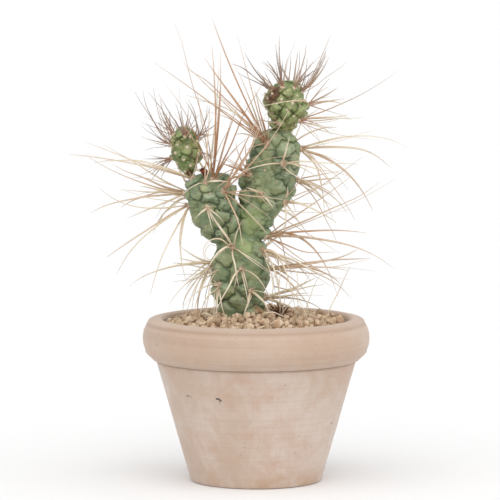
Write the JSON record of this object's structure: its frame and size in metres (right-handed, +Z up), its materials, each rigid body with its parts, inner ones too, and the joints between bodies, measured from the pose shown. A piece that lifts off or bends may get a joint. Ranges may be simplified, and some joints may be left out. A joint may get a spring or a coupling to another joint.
{
  "type": "potted cactus",
  "caption": "Branching cactus of stubby paddle-like segments with long papery spines, growing through gravel in a thick-rimmed round clay flowerpot.",
  "frame": {"origin": "centre of the pot's foot, on the surface it stands on", "axes": "+Z up along the pot's axis; -Y is the side that is looked at, with the taller branch on +X"},
  "size_m": [0.2071, 0.14, 0.2852],
  "materials": {
    "terracotta": "matte, unglazed, limey bloom",
    "soil": "matte, crumbly",
    "gravel": "matte, rough crumbs",
    "old_skin": "waxy, satin",
    "young_skin": "waxy, satin",
    "straw_spines": "papery, satin",
    "dark_spines": "papery, satin",
    "dried_bud": "matte, withered"
  },
  "bodies": {
    "root": {"dried_bud": "dried_bud", "gravel": "gravel", "left_branch": "old_skin", "left_shoot": "young_skin", "pot": "terracotta", "potting_soil": "soil", "right_branch": "old_skin", "right_shoot": "young_skin", "spines_left_branch_01": "straw_spines", "spines_left_branch_02": "straw_spines", "spines_left_branch_03": "straw_spines", "spines_left_branch_04": "straw_spines", "spines_left_branch_05": "straw_spines", "spines_left_branch_06": "straw_spines", "spines_left_branch_07": "straw_spines", "spines_left_branch_08": "straw_spines", "spines_left_branch_09": "straw_spines", "spines_left_branch_10": "straw_spines", "spines_left_shoot_01": "dark_spines", "spines_left_shoot_02": "dark_spines", "spines_left_shoot_03": "dark_spines", "spines_left_shoot_04": "dark_spines", "spines_left_shoot_05": "dark_spines", "spines_left_shoot_06": "dark_spines", "spines_left_shoot_07": "dark_spines", "spines_right_branch_01": "straw_spines", "spines_right_branch_02": "straw_spines", "spines_right_branch_03": "straw_spines", "spines_right_branch_04": "straw_spines", "spines_right_branch_05": "straw_spines", "spines_right_branch_06": "straw_spines", "spines_right_branch_07": "straw_spines", "spines_right_branch_08": "straw_spines", "spines_right_branch_09": "straw_spines", "spines_right_branch_10": "straw_spines", "spines_right_branch_11": "straw_spines", "spines_right_branch_12": "straw_spines", "spines_right_shoot_01": "dark_spines", "spines_right_shoot_02": "dark_spines", "spines_right_shoot_03": "dark_spines", "spines_right_shoot_04": "dark_spines", "spines_right_shoot_05": "dark_spines", "spines_right_shoot_06": "dark_spines", "spines_right_shoot_07": "dark_spines", "spines_right_shoot_08": "dark_spines", "spines_right_shoot_09": "dark_spines", "spines_trunk_01": "straw_spines", "spines_trunk_02": "straw_spines", "spines_trunk_03": "straw_spines", "spines_trunk_04": "straw_spines", "spines_trunk_05": "straw_spines", "spines_trunk_06": "straw_spines", "spines_trunk_07": "straw_spines", "spines_trunk_08": "straw_spines", "spines_trunk_09": "straw_spines", "spines_trunk_10": "straw_spines", "spines_trunk_11": "straw_spines", "trunk": "old_skin"}
  },
  "joints": []
}
